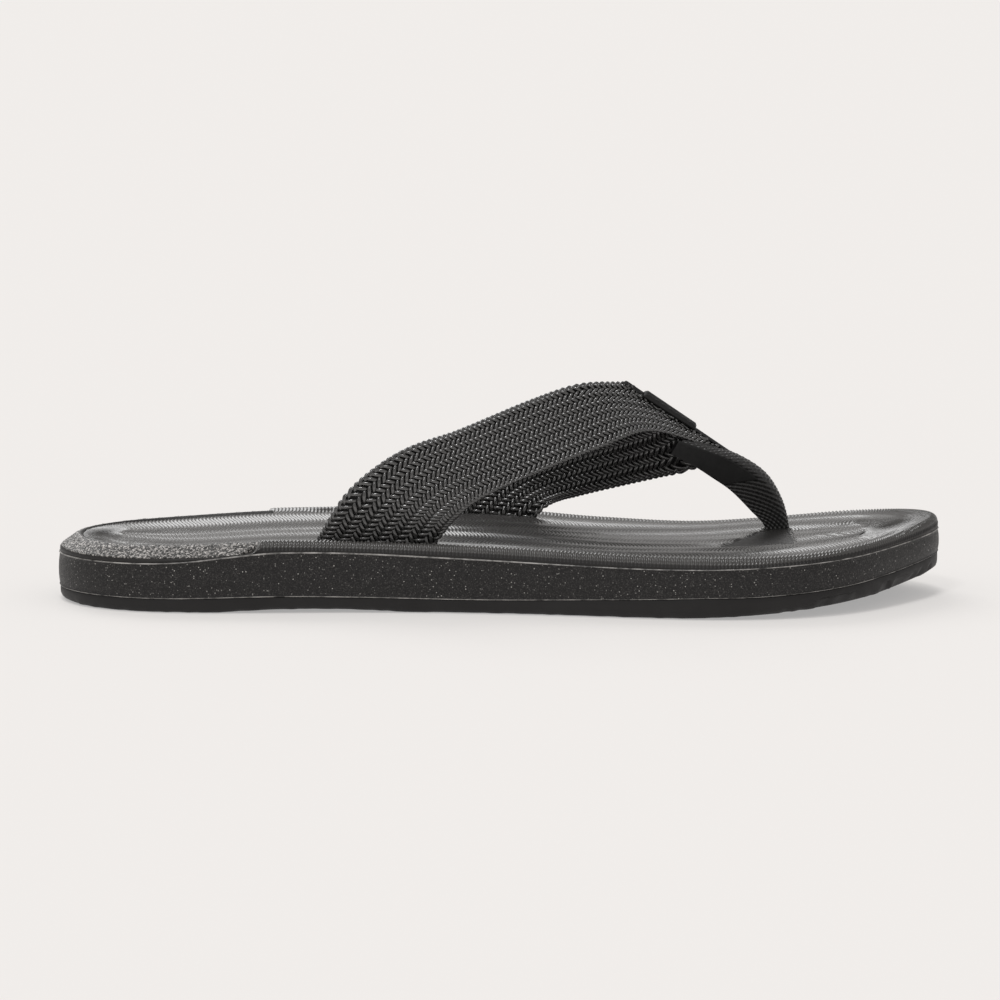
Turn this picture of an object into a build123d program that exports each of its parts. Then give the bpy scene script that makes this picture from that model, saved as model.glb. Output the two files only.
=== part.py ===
from build123d import *
import math
import os

# A flip flop for the right foot: a cemented stack of outsole, midsole and dished footbed, two braided
# strap halves mitred together over the instep, and a folded webbing thong that goes down between the toes.
# Frame: X runs from heel to toe, Y from the lateral to the medial side, Z up from the ground. The origin is
# on the ground, under the middle of the sole. All values are in millimetres.

# Overall sizes
length = 290
heel_width = 76
waist_width = 72
ball_width = 102.5

# Heights over the ground along the sole, one for each station, a share of the length from the heel
stations = [0.0, 0.13, 0.26, 0.47, 0.62, 0.72, 0.80, 0.90, 1.0]
outsole_edge = [4.6, 4.7, 5.4, 4.6, 5.8, 7.0, 7.6, 9.8, 14.0]
parting_edge = [15.8, 16.5, 20.0, 18.0, 16.5, 16.4, 17.1, 18.8, 21.8]
lateral_rim = [21.6, 22.0, 23.1, 21.2, 19.7, 19.2, 19.4, 21.6, 25.2]
medial_rim = [21.6, 21.7, 24.2, 25.4, 21.2, 18.6, 19.7, 22.7, 25.6]
dish_depth = [2.4, 3.0, 2.4, 1.6, 0.8, -0.6, -1.3, -0.4, 0.4]

# Sole
sole_block = 40.0
tray_inset = 6.0
tray_depth = 5.0
toe_spring_start = 190.0
toe_spring_radius = 604.0
waist_lift = 1.0
waist_start = 54.0
waist_end = 114.0
groove_width = 2.0
groove_depth = 1.4
groove_pitch = 9.0
groove_inset = 9.0

# Heel collar
collar_width = 7.0
collar_low_end = 59.0
collar_high_end = 67.0

# Strap
strap_thickness = 2.6
strap_clearance = 0.25
slot_length = 41.0
slot_inset = 9.0
lateral_slot_from_heel = 105.0
medial_slot_from_heel = 139.0
tail_length = 24.0

# Thong and its anchor
thong_thickness = 1.6
lining_thickness = 0.7
lining_gap = 0.1
thong_fore_aft = 8.8
thong_across = 6.6
thong_shoulder = 2.2
thong_from_heel = 236.0
thong_y = 17.5
anchor_radius = 11.0
anchor_thickness = 2.5
anchor_below_tray = 0.9
anchor_clearance = 0.3

# Tape and label on the ridge
seam_gap = 0.5
tape_width = 9.0
tape_thickness = 0.6
tape_start = 1.0
tape_length = 32.0
label_width = 12.0
label_thickness = 1.4
label_start = 6.5
label_length = 20.0
lateral_slope = 1.0
medial_slope = 27.0
stitch_count = 6
stitch_length = 2.0
stitch_diameter = 0.5
stitch_pitch = 3.2
stitch_inset = 1.4
stitch_lift = 0.05


def from_heel(distance):
    """X of a point at a distance forward of the heel."""
    return distance - length / 2


def between(values, share):
    """Smooth value at a share of the length, through one value for each station."""
    share = min(max(share, stations[0]), stations[-1])
    right = next(i for i in range(1, len(stations)) if share <= stations[i])
    left = right - 1
    before, after = max(left - 1, 0), min(right + 1, len(stations) - 1)
    span = stations[right] - stations[left]
    slope_left = (values[right] - values[before]) / (stations[right] - stations[before])
    slope_right = (values[after] - values[left]) / (stations[after] - stations[left])
    t = (share - stations[left]) / span
    return (
        values[left] * (2 * t**3 - 3 * t**2 + 1)
        + values[right] * (3 * t**2 - 2 * t**3)
        + span * slope_left * (t**3 - 2 * t**2 + t)
        + span * slope_right * (t**3 - t**2)
    )


# Outline of the sole, the same for every layer: share of the length, lateral and medial distance from X
outline_sides = [
    (0.034, 0.30 * heel_width, 0.33 * heel_width),
    (0.103, 0.455 * heel_width, 0.48 * heel_width),
    (0.207, 0.487 * heel_width, 0.52 * heel_width),
    (0.414, 0.503 * waist_width, 0.497 * waist_width),
    (0.621, 0.447 * ball_width, 0.402 * ball_width),
    (0.779, 0.500 * ball_width, 0.500 * ball_width),
    (0.879, 0.400 * ball_width, 0.476 * ball_width),
    (0.955, 0.166 * ball_width, 0.363 * ball_width),
]
heel_tip = (from_heel(0), 0.013 * heel_width)
toe_tip = (from_heel(length), 0.146 * ball_width)
lateral_points = [(from_heel(share * length), -lateral) for share, lateral, medial in outline_sides]
medial_points = [(from_heel(share * length), medial) for share, lateral, medial in outline_sides]

outline_points = [heel_tip, *lateral_points, toe_tip, *medial_points[::-1]]


def outline_sketch(inset=0.0):
    """Closed smooth outline through the outline's points, each moved inward by the inset."""
    count = len(outline_points)
    moved = []
    for i, (x, y) in enumerate(outline_points):
        before, after = outline_points[i - 1], outline_points[(i + 1) % count]
        run_x, run_y = after[0] - before[0], after[1] - before[1]
        run = math.hypot(run_x, run_y)
        moved.append((x - inset * run_y / run, y + inset * run_x / run))
    with BuildSketch() as sketch:
        with BuildLine():
            Spline(*moved, periodic=True)
        make_face()
    return sketch.sketch


outline = outline_sketch()
outline_samples = 240
outline_places = [outline.edges()[0].position_at(i / outline_samples) for i in range(outline_samples)]


def side_y(x, side):
    """Y of the outline at x, on the lateral side (-1) or the medial side (+1)."""
    nearby = [place for place in outline_places if place.Y * side > 0]
    return min(nearby, key=lambda place: abs(place.X - x)).Y


def top_height(x, y):
    """Height of the footbed's upper face: two rims, a blend between them and the dish inside them."""
    share = x / length + 0.5
    medial_share = 0.5 + 0.5 * math.tanh(3 * y / waist_width)
    rim = between(lateral_rim, share) * (1 - medial_share) + between(medial_rim, share) * medial_share
    half = waist_width / 2 + (ball_width - waist_width) / 2 * (0.5 + 0.5 * math.tanh(8 * (share - 0.6)))
    across = abs(y) / (0.82 * half)
    along = abs(x) / (0.45 * length)
    return rim - between(dish_depth, share) * math.exp(-(across**4) - along**16)


def top_surface():
    """Upper face of the footbed, run out past the outline by a margin."""
    margin = 10
    columns, rows = 40, 16
    grid = []
    for i in range(columns + 1):
        x = -length / 2 - margin + i * (length + 2 * margin) / columns
        ys = [-ball_width / 2 - margin + j * (ball_width + 2 * margin) / rows for j in range(rows + 1)]
        grid.append([(x, y, top_height(x, y)) for y in ys])
    return Face.make_surface_from_array_of_points(grid, tol=0.05)


over_footbed = extrude(top_surface(), sole_block, dir=(0, 0, 1))


def under_line(heights, drop=0.0):
    """Block below the line of heights along the sole, as wide as the sole, lowered by a drop."""
    margin = 5
    places = [(from_heel(share * length), height - drop) for share, height in zip(stations, heights)]
    back, front = (from_heel(-margin), heights[0] - drop), (from_heel(length + margin), heights[-1] - drop)
    with BuildPart() as block:
        with BuildSketch(Plane.XZ):
            with BuildLine():
                Spline(*places)
                Polyline(places[-1], front, (front[0], -margin), (back[0], -margin), back, places[0])
            make_face()
        extrude(amount=ball_width, both=True)
    return block.part


under_outsole_top = under_line(outsole_edge)
under_parting = under_line(parting_edge)
under_tray_floor = under_line(parting_edge, drop=tray_depth)

# Places of the strap slots as x, y and the direction inward, and of the toe hole
slots = {
    "lateral": (from_heel(lateral_slot_from_heel), side_y(from_heel(lateral_slot_from_heel), -1) + slot_inset, 1),
    "medial": (from_heel(medial_slot_from_heel), side_y(from_heel(medial_slot_from_heel), 1) - slot_inset, -1),
}
thong_x = from_heel(thong_from_heel)
tray_at_thong = between(parting_edge, thong_from_heel / length) - tray_depth
anchor_height = tray_at_thong - anchor_below_tray - anchor_thickness


def slot_top(side):
    """Highest point of the footbed along a strap slot."""
    x, y, inward = slots[side]
    return max(top_height(x + slot_length * (i / 8 - 0.5), y) for i in range(9))


def tail_top(side):
    """Top of a strap tail, just under the tray that the footbed fills."""
    x, y, inward = slots[side]
    shares = [(x + slot_length * (i / 8 - 0.5)) / length + 0.5 for i in range(9)]
    return min(between(parting_edge, share) for share in shares) - tray_depth - strap_clearance


def spring_lift(distance):
    """Height of the toe spring's arc at a distance from the heel."""
    run = max(distance - toe_spring_start, 0)
    return toe_spring_radius - math.sqrt(toe_spring_radius**2 - run**2)


# Outsole: flat on the ground at the heel and the ball, lifted at the waist, sprung up at the toe
with BuildPart() as outsole:
    with BuildSketch():
        add(outline)
    extrude(amount=sole_block)
    add(under_outsole_top, mode=Mode.INTERSECT)
    with BuildSketch(Plane.XZ):
        spring_start = (from_heel(toe_spring_start), 0)
        spring_end = (from_heel(length + 5), spring_lift(length + 5))
        with BuildLine():
            Line((spring_end[0], 0), spring_start)
            TangentArc(spring_start, spring_end, tangent=(1, 0))
            Line(spring_end, (spring_end[0], 0))
        make_face()
    extrude(amount=ball_width, both=True, mode=Mode.SUBTRACT)
    with BuildSketch(Plane.XZ):
        waist_left, waist_right = (from_heel(waist_start), 0), (from_heel(waist_end), 0)
        with BuildLine():
            ThreePointArc(waist_left, (from_heel((waist_start + waist_end) / 2), waist_lift), waist_right)
            Line(waist_right, waist_left)
        make_face()
    extrude(amount=ball_width, both=True, mode=Mode.SUBTRACT)

# Tread: straight grooves across the heel and the ball, kept clear of the edge
groove_places = [groove_pitch * (1.5 + i) for i in range(int(length / groove_pitch) - 2)]
treads = [d for d in groove_places if not waist_start - groove_pitch < d < waist_end + groove_pitch]
with BuildPart() as grooves:
    for distance in treads:
        with BuildSketch(Plane.XY.offset(spring_lift(distance) + groove_depth)):
            with Locations((from_heel(distance), 0)):
                Rectangle(groove_width, 2 * ball_width)
        extrude(amount=-3 * groove_depth - spring_lift(distance))
    with BuildSketch():
        add(outline_sketch(groove_inset))
    extrude(amount=sole_block, both=True, mode=Mode.INTERSECT)

with outsole:
    add(grooves.part, mode=Mode.SUBTRACT)
outsole.part.label = "outsole"

# Tray: the hollow in the midsole that the footbed's core fills
with BuildPart() as tray:
    with BuildSketch():
        add(outline_sketch(tray_inset))
    extrude(amount=sole_block)
    add(under_tray_floor, mode=Mode.SUBTRACT)

# Midsole: foam between outsole and footbed, with pockets for the strap tails and the toe anchor
with BuildPart() as midsole:
    with BuildSketch():
        add(outline)
    extrude(amount=sole_block)
    add(under_parting, mode=Mode.INTERSECT)
    add(under_outsole_top, mode=Mode.SUBTRACT)
    add(tray.part, mode=Mode.SUBTRACT)
    for side, (x, y, inward) in slots.items():
        with BuildSketch(Plane.XY.offset(tail_top(side) - strap_thickness - strap_clearance)):
            with Locations((x, y + inward * (tail_length - strap_thickness) / 2)):
                Rectangle(slot_length + 2 * strap_clearance, tail_length + 2 * strap_clearance)
        extrude(amount=sole_block, mode=Mode.SUBTRACT)
    with BuildSketch():
        with Locations((thong_x, thong_y)):
            Circle(anchor_radius + anchor_clearance)
    extrude(amount=anchor_height + anchor_thickness, mode=Mode.SUBTRACT)
    with BuildSketch():
        with Locations((thong_x, thong_y)):
            Rectangle(thong_fore_aft + 2 * anchor_clearance, thong_across + 2 * anchor_clearance)
    extrude(amount=sole_block, mode=Mode.SUBTRACT)
midsole.part.label = "midsole"

# Zone of the heel collar: a horseshoe along the edge of the heel with slanted ends
with BuildPart() as collar_zone:
    with BuildSketch():
        add(outline)
        add(outline_sketch(collar_width), mode=Mode.SUBTRACT)
    extrude(amount=sole_block)
    add(under_parting, mode=Mode.SUBTRACT)
    with BuildSketch(Plane.XZ):
        with BuildLine():
            Polyline(
                (from_heel(collar_low_end), -1),
                (from_heel(collar_low_end), parting_edge[1]),
                (from_heel(collar_high_end), lateral_rim[1] + 1),
                (from_heel(collar_high_end), sole_block + 1),
                (from_heel(length + 5), sole_block + 1),
                (from_heel(length + 5), -1),
                close=True,
            )
        make_face()
    extrude(amount=ball_width, both=True, mode=Mode.SUBTRACT)

# Footbed: dished top layer that fills the tray, cut for the collar, the strap slots and the thong
with BuildPart() as footbed:
    with BuildSketch():
        add(outline)
    extrude(amount=sole_block)
    add(under_parting, mode=Mode.SUBTRACT)
    add(tray.part)
    add(over_footbed, mode=Mode.SUBTRACT)
    add(collar_zone.part, mode=Mode.SUBTRACT)
    with BuildSketch():
        for x, y, inward in slots.values():
            with Locations((x, y)):
                Rectangle(slot_length + 2 * strap_clearance, strap_thickness + 2 * strap_clearance)
        with Locations((thong_x, thong_y)):
            Rectangle(thong_fore_aft + 2 * anchor_clearance, thong_across + 2 * anchor_clearance)
    extrude(amount=sole_block, mode=Mode.SUBTRACT)
footbed.part.label = "footbed"

# Heel collar: textured band round the edge of the heel
with BuildPart() as heel_collar:
    add(collar_zone.part)
    add(over_footbed, mode=Mode.SUBTRACT)
heel_collar.part.label = "heel_collar"

# Toe anchor: a disc set in the midsole that the thong is moulded to
with BuildPart() as toe_anchor:
    with BuildSketch(Plane.XY.offset(anchor_height)):
        with Locations((thong_x, thong_y)):
            Circle(anchor_radius)
    extrude(amount=anchor_thickness)
toe_anchor.part.label = "toe_anchor"

# Straps. Each crossing line runs from the back edge to the front edge of a band, on its outer face, as
# (from heel, y, z) points, from just over the slot up to the ridge where the two halves meet.
ridge_back = (187.2, 10.2, 69.5)
ridge_front = (222.0, 14.2, 46.5)
crossings = {
    "lateral": [
        ((96.0, -28.4, 38.5), (131.5, -28.4, 29.5)),
        ((112.0, -24.0, 50.7), (139.5, -26.6, 36.0)),
        ((131.8, -14.5, 57.2), (158.2, -20.0, 44.3)),
        ((155.0, -3.8, 65.2), (180.0, -8.0, 51.4)),
        ((172.0, 3.2, 69.3), (197.0, 2.2, 54.6)),
    ],
    "medial": [
        ((130.0, 29.8, 38.0), (166.0, 29.8, 30.4)),
        ((143.0, 30.0, 46.5), (170.5, 30.4, 31.6)),
        ((160.0, 27.8, 54.5), (184.0, 29.4, 34.8)),
        ((176.0, 22.2, 61.0), (197.0, 26.2, 38.0)),
        ((183.5, 17.5, 65.0), (206.0, 22.4, 40.8)),
    ],
}


def place(point):
    return Vector(from_heel(point[0]), point[1], point[2])


ridge_along = (place(ridge_front) - place(ridge_back)).normalized()
ridge_across = Vector(0, 0, 1).cross(ridge_along).normalized()
ridge_up = ridge_along.cross(ridge_across)


def band_section(line, outward, ahead):
    """Plane in the middle of the band's thickness, its X along the crossing line, its Z ahead."""
    back, front = place(line[0]), place(line[1])
    along = (front - back).normalized()
    out = (outward - along * along.dot(outward)).normalized()
    normal = along.cross(out)
    if normal.dot(ahead) < 0:
        normal = normal * -1
    return Plane(origin=(back + front) * 0.5 - out * (strap_thickness / 2), x_dir=along, z_dir=normal)


def strap_half(side):
    """Band from its tail in the midsole, through the slot and up to the ridge, as one solid."""
    x, y, inward = slots[side]
    floor = tail_top(side) - strap_thickness
    top = slot_top(side) + strap_clearance
    lines = crossings[side] + [(ridge_back, ridge_front)]
    middles = [Vector(x, y, top)] + [(place(back) + place(front)) * 0.5 for back, front in lines]
    with BuildPart() as band:
        with BuildSketch(Plane.XY.offset(top)):
            with Locations((x, y)):
                Rectangle(slot_length, strap_thickness)
        for index, line in enumerate(crossings[side]):
            ahead = middles[index + 2] - middles[index]
            along = place(line[1]) - place(line[0])
            outward = along.cross(ahead) * inward
            with BuildSketch(band_section(line, outward, ahead)):
                Rectangle(along.length, strap_thickness)
        with BuildSketch(band_section(lines[-1], ridge_up, ridge_across * inward)):
            Rectangle((place(ridge_front) - place(ridge_back)).length, strap_thickness)
        loft()
        with BuildSketch(Plane.XY.offset(floor)):
            with Locations((x, y)):
                Rectangle(slot_length, strap_thickness)
        extrude(amount=top - floor)
        with BuildSketch(Plane.XY.offset(floor)):
            with Locations((x, y + inward * (tail_length - strap_thickness) / 2)):
                Rectangle(slot_length, tail_length)
        extrude(amount=strap_thickness)
    return band.part


strap_lateral = strap_half("lateral")
strap_lateral.label = "strap_lateral"
strap_medial = strap_half("medial")
strap_medial.label = "strap_medial"

# Thong: its front fold and back edge as (from heel, y, z) points, and its width, from under the ridge down
thong_stations = [
    ((204.0, 11.0, 49.0), (201.0, 11.0, 42.6), 7.6),
    ((214.0, 12.2, 44.6), (210.6, 12.4, 38.6), 7.6),
    ((226.0, 14.0, 42.6), (220.0, 14.0, 35.4), 8.0),
    ((233.5, 15.6, 37.5), (225.6, 15.6, 31.0), 8.0),
    ((238.6, 16.8, 28.5), (229.4, 16.8, 25.6), 7.2),
]
thong_base = anchor_height + anchor_thickness


def thong_part(inset, thickness, last):
    """Folded strip along the thong, inset from the webbing's outer face, down to a station or the anchor."""
    half_fore_aft = thong_fore_aft / 2
    foot = [
        (Vector(thong_x + half_fore_aft, thong_y, z), Vector(thong_x - half_fore_aft, thong_y, z), thong_across)
        for z in (top_height(thong_x, thong_y) + 1, thong_base)
    ]
    cuts = [(place(fold), place(back), width) for fold, back, width in thong_stations] + foot
    with BuildPart() as strip:
        for fold, back, width in cuts[:last]:
            depth = (back - fold).length
            inward = (back - fold).normalized()
            across = Vector(0, 1, 0)
            outer, inner = width / 2 - inset, width / 2 - inset - thickness
            with BuildSketch(Plane(origin=fold, x_dir=across, z_dir=across.cross(inward))):
                with BuildLine():
                    Polyline(
                        (-outer, depth),
                        (-outer, thong_shoulder + inset),
                        (-outer / 3, inset),
                        (outer / 3, inset),
                        (outer, thong_shoulder + inset),
                        (outer, depth),
                        (inner, depth),
                        (inner, thong_shoulder + inset + thickness),
                        (inner / 3, inset + thickness),
                        (-inner / 3, inset + thickness),
                        (-inner, thong_shoulder + inset + thickness),
                        (-inner, depth),
                        close=True,
                    )
                make_face()
        loft(ruled=True)
    return strip.part


thong_webbing = thong_part(0, thong_thickness, len(thong_stations) + 2)
thong_webbing.label = "thong_webbing"
thong_lining = thong_part(thong_thickness + lining_gap, lining_thickness, 3)
thong_lining.label = "thong_lining"

# Tape and label: strips folded over the ridge, the label on top of the tape
def ridge_strip(start, strip_length, width, thickness, lift):
    """Strip folded over the ridge, from a distance along the ridge, lifted clear of it."""
    foot = place(ridge_back) + ridge_along * start + ridge_up * lift
    with BuildPart() as strip:
        with BuildSketch(Plane(origin=foot, x_dir=ridge_across, z_dir=ridge_along)):
            with BuildLine():
                Polyline(*ridge_profile(width, 0), *ridge_profile(width, thickness)[::-1], close=True)
            make_face()
        extrude(amount=strip_length)
    return strip.part


def ridge_profile(width, height):
    """Three points of a folded line over the ridge: lateral edge, fold and medial edge."""
    lateral, medial = math.radians(lateral_slope), math.radians(medial_slope)
    return [
        (-width / 2 * math.cos(lateral), height - width / 2 * math.sin(lateral)),
        (0, height),
        (width / 2 * math.cos(medial), height - width / 2 * math.sin(medial)),
    ]


centre_tape = ridge_strip(tape_start, tape_length, tape_width, tape_thickness, seam_gap)
centre_tape.label = "centre_tape"
label_lift = seam_gap + tape_thickness + stitch_lift
label_patch = ridge_strip(label_start, label_length, label_width, label_thickness, label_lift)
label_patch.label = "label_patch"

# Stitches along the two long edges of the label, each a short bar lying on its face
stitch_places = [stitch_inset + stitch_length / 2 + i * stitch_pitch for i in range(stitch_count)]
label_top = label_lift + label_thickness + stitch_lift + stitch_diameter / 2
with BuildPart() as label_stitches:
    for side, slope in ((1, lateral_slope), (-1, medial_slope)):
        out = label_width / 2 - stitch_inset
        across = ridge_across * -side * math.cos(math.radians(slope))
        flank = across - ridge_up * math.sin(math.radians(slope))
        for distance in stitch_places:
            start = place(ridge_back) + ridge_along * (label_start + distance - stitch_length / 2)
            with BuildSketch(Plane(origin=start + flank * out + ridge_up * label_top, z_dir=ridge_along)):
                Circle(stitch_diameter / 2)
            extrude(amount=stitch_length)
label_stitches.part.label = "label_stitches"

pieces = {
    "outsole": outsole.part,
    "midsole": midsole.part,
    "footbed": footbed.part,
    "heel_collar": heel_collar.part,
    "toe_anchor": toe_anchor.part,
    "strap_lateral": strap_lateral,
    "strap_medial": strap_medial,
    "thong_webbing": thong_webbing,
    "thong_lining": thong_lining,
    "centre_tape": centre_tape,
    "label_patch": label_patch,
    "label_stitches": label_stitches.part,
}
os.makedirs("parts", exist_ok=True)
for name, piece in pieces.items():
    export_step(piece, f"parts/{name}.step")
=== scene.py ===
import math

import bpy
import numpy as np
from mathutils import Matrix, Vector


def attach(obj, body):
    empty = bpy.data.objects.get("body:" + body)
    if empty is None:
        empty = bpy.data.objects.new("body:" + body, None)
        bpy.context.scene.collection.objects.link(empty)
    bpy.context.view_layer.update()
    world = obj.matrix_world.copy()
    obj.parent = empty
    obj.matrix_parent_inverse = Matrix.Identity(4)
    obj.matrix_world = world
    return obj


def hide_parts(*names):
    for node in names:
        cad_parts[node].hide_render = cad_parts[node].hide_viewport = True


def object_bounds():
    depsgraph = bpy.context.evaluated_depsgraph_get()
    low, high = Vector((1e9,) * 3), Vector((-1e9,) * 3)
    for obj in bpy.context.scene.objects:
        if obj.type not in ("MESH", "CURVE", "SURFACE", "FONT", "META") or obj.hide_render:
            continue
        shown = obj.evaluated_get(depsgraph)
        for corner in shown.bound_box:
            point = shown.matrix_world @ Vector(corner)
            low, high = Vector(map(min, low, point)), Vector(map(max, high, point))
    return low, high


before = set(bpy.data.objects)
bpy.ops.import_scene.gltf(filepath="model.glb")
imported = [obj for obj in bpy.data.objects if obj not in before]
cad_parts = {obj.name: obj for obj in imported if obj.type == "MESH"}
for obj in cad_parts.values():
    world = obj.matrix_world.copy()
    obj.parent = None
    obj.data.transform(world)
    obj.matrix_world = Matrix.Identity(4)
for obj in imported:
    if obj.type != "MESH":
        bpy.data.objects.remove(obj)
cad_box = [list(corner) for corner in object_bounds()]

# Shapes are worked out in millimetres, in the frame of the CAD model, and stored in metres.
MM = 0.001
rng = np.random.default_rng(12)

# Overall sizes and the heights along the sole, as in the CAD model
length = (cad_box[1][0] - cad_box[0][0]) / MM
heel_width = 76.0
waist_width = 72.0
ball_width = 102.5
stations = np.array([0.0, 0.13, 0.26, 0.47, 0.62, 0.72, 0.80, 0.90, 1.0])
outsole_edge = [4.6, 4.7, 5.4, 4.6, 5.8, 7.0, 7.6, 9.8, 14.0]
parting_edge = [15.8, 16.5, 20.0, 18.0, 16.5, 16.4, 17.1, 18.8, 21.8]
lateral_rim = [21.6, 22.0, 23.1, 21.2, 19.7, 19.2, 19.4, 21.6, 25.2]
medial_rim = [22.0, 22.9, 24.9, 26.0, 21.4, 18.6, 19.2, 22.3, 26.2]
dish_depth = [2.4, 3.0, 2.4, 1.6, 0.8, -0.6, -1.3, -0.4, 0.4]
toe_spring_start = 190.0
toe_spring_radius = 604.0
waist_start, waist_end, waist_lift = 54.0, 114.0, 1.0
outline_sides = [
    (0.034, 0.30 * heel_width, 0.33 * heel_width),
    (0.103, 0.455 * heel_width, 0.48 * heel_width),
    (0.207, 0.487 * heel_width, 0.52 * heel_width),
    (0.414, 0.503 * waist_width, 0.497 * waist_width),
    (0.621, 0.447 * ball_width, 0.402 * ball_width),
    (0.779, 0.500 * ball_width, 0.500 * ball_width),
    (0.879, 0.400 * ball_width, 0.476 * ball_width),
    (0.955, 0.166 * ball_width, 0.363 * ball_width),
]


def from_heel(distance):
    return distance - length / 2


def smooth(places, values, at):
    """Smooth curve through values at places: numbers or points, one for each number in at."""
    places, values = np.asarray(places, float), np.asarray(values, float)
    at = np.clip(at, places[0], places[-1])
    right = np.clip(np.searchsorted(places, at), 1, len(places) - 1)
    left = right - 1
    before, after = np.maximum(left - 1, 0), np.minimum(right + 1, len(places) - 1)

    def tall(a):
        return a.reshape(a.shape + (1,) * (values.ndim - 1))

    span = tall(places[right] - places[left])
    slope_left = (values[right] - values[before]) / tall(places[right] - places[before])
    slope_right = (values[after] - values[left]) / tall(places[after] - places[left])
    t = tall((at - places[left]) / (places[right] - places[left]))
    return (
        values[left] * (2 * t**3 - 3 * t**2 + 1)
        + values[right] * (3 * t**2 - 2 * t**3)
        + span * slope_left * (t**3 - 2 * t**2 + t)
        + span * slope_right * (t**3 - t**2)
    )


def ease(t):
    t = np.clip(t, 0, 1)
    return t * t * (3 - 2 * t)


def closed_spline(points, per_span):
    """Dense points on the smooth closed curve through the given points."""
    p = np.array(points, float)
    n = len(p)
    step = np.linalg.norm(np.roll(p, -1, axis=0) - p, axis=1)
    matrix, right = np.zeros((n, n)), np.zeros((n, 2))
    for i in range(n):
        after = (i + 1) % n
        matrix[i, i - 1] += step[i - 1]
        matrix[i, i] += 2 * (step[i - 1] + step[i])
        matrix[i, after] += step[i]
        right[i] = 6 * ((p[after] - p[i]) / step[i] - (p[i] - p[i - 1]) / step[i - 1])
    bend = np.linalg.solve(matrix, right)
    dense = []
    for i in range(n):
        after = (i + 1) % n
        t = (np.arange(per_span) / per_span)[:, None]
        h = step[i]
        dense.append(
            (1 - t) * p[i] + t * p[after]
            + h * h / 6 * (((1 - t) ** 3 - (1 - t)) * bend[i] + (t**3 - t) * bend[after])
        )
    return np.concatenate(dense)


def resample(path, spacing):
    """Points spread evenly along a path, both ends included."""
    run = np.concatenate([[0], np.cumsum(np.linalg.norm(np.diff(path, axis=0), axis=1))])
    count = max(int(round(run[-1] / spacing)), 2)
    at = np.linspace(0, run[-1], count + 1)
    return np.stack([np.interp(at, run, path[:, k]) for k in range(path.shape[1])], axis=1)


SPAN = 80
heel_tip = (from_heel(0), 0.013 * heel_width)
toe_tip = (from_heel(length), 0.146 * ball_width)
lateral_points = [(from_heel(share * length), -lateral) for share, lateral, medial in outline_sides]
medial_points = [(from_heel(share * length), medial) for share, lateral, medial in outline_sides]
outline = closed_spline([heel_tip, *lateral_points, toe_tip, *medial_points[::-1]], SPAN)
toe_index = SPAN * (len(lateral_points) + 1)
lateral_outline = outline[: toe_index + 1]
medial_outline = np.concatenate([outline[toe_index:], outline[:1]])


def share_of(x):
    return x / length + 0.5


def top_height(x, y):
    """Height of the footbed's dished upper face."""
    share = share_of(x)
    medial_share = 0.5 + 0.5 * np.tanh(3 * y / waist_width)
    rim = smooth(stations, lateral_rim, share) * (1 - medial_share)
    rim = rim + smooth(stations, medial_rim, share) * medial_share
    forefoot_share = 0.5 + 0.5 * np.tanh(8 * (share - 0.6))
    half = waist_width / 2 + (ball_width - waist_width) / 2 * forefoot_share
    across = np.abs(y) / (0.82 * half)
    along = np.abs(x) / (0.46 * length)
    return rim - smooth(stations, dish_depth, share) * np.exp(-(across**4) - along**8)


def parting(x):
    return smooth(stations, parting_edge, share_of(x))


def outsole_top(x):
    return smooth(stations, outsole_edge, share_of(x))


def ground(x):
    """Height of the outsole's underside: toe spring and waist lift."""
    distance = x + length / 2
    run = np.maximum(distance - toe_spring_start, 0)
    spring = toe_spring_radius - np.sqrt(toe_spring_radius**2 - run**2)
    middle, half = (waist_start + waist_end) / 2, (waist_end - waist_start) / 2
    return spring + waist_lift * np.clip(1 - ((distance - middle) / half) ** 2, 0, None)


# Details of the footbed and the heel collar
COLLAR_WIDTH = 7.0          # from the rim to where the footbed comes out from under the collar
COLLAR_LOW_END, COLLAR_HIGH_END = 59.0, 67.0
COLLAR_SLOPE_START, COLLAR_SLOPE = 5.8, 0.70
COLLAR_FOOT = 4.25          # how far the collar's slope and lower lip reach below the rim
RIB_PITCH = 1.2
RIB_HEIGHT = 0.20
BAND_WIDTH = 10.0           # width of the bands in which the ribs lean one way
RIM_ROLL = 2.2              # radius of the rounded rim
PAD_DEPTH, STRIPE_DEPTH, CREASE_DEPTH = 0.35, 0.8, 1.2
PLAIN_ABOVE = 15.0          # the pad's plain foam is above this height, on the upper face only
WALL_ROWS = 7               # rows of faces from the footbed's underside up to the rim, coloured darker as painted shade


# Mesh helpers
def new_object(name, data):
    made = bpy.data.objects.new(name, data)
    bpy.context.scene.collection.objects.link(made)
    return made


def new_piece(name, points, faces, material):
    mesh = bpy.data.meshes.new(name)
    mesh.from_pydata((np.asarray(points) * MM).tolist(), [], faces)
    mesh.update()
    mesh.shade_smooth()
    piece = new_object(name, mesh)
    mesh.materials.append(material)
    return piece


def grid_faces(rows, columns, start=0, wrap=False):
    """Quads between rows of points, each row closed on itself if it wraps."""
    width = columns if wrap else columns - 1
    i, j = np.meshgrid(np.arange(rows - 1), np.arange(width), indexing="ij")
    k = (j + 1) % columns
    this, after = i * columns, (i + 1) * columns
    quads = np.stack([this + j, this + k, after + k, after + j], axis=-1)
    return (quads.reshape(-1, 4) + start).tolist()


def bar_faces(rows, columns):
    """Faces of a closed bar whose rows of points run along it, side by side round its section."""
    last = (rows - 1) * columns
    faces = grid_faces(rows, columns)
    faces += [[last + j, last + j + 1, j + 1, j] for j in range(columns - 1)]
    faces.append([i * columns for i in range(rows)][::-1])
    faces.append([i * columns + columns - 1 for i in range(rows)])
    return faces


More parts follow.
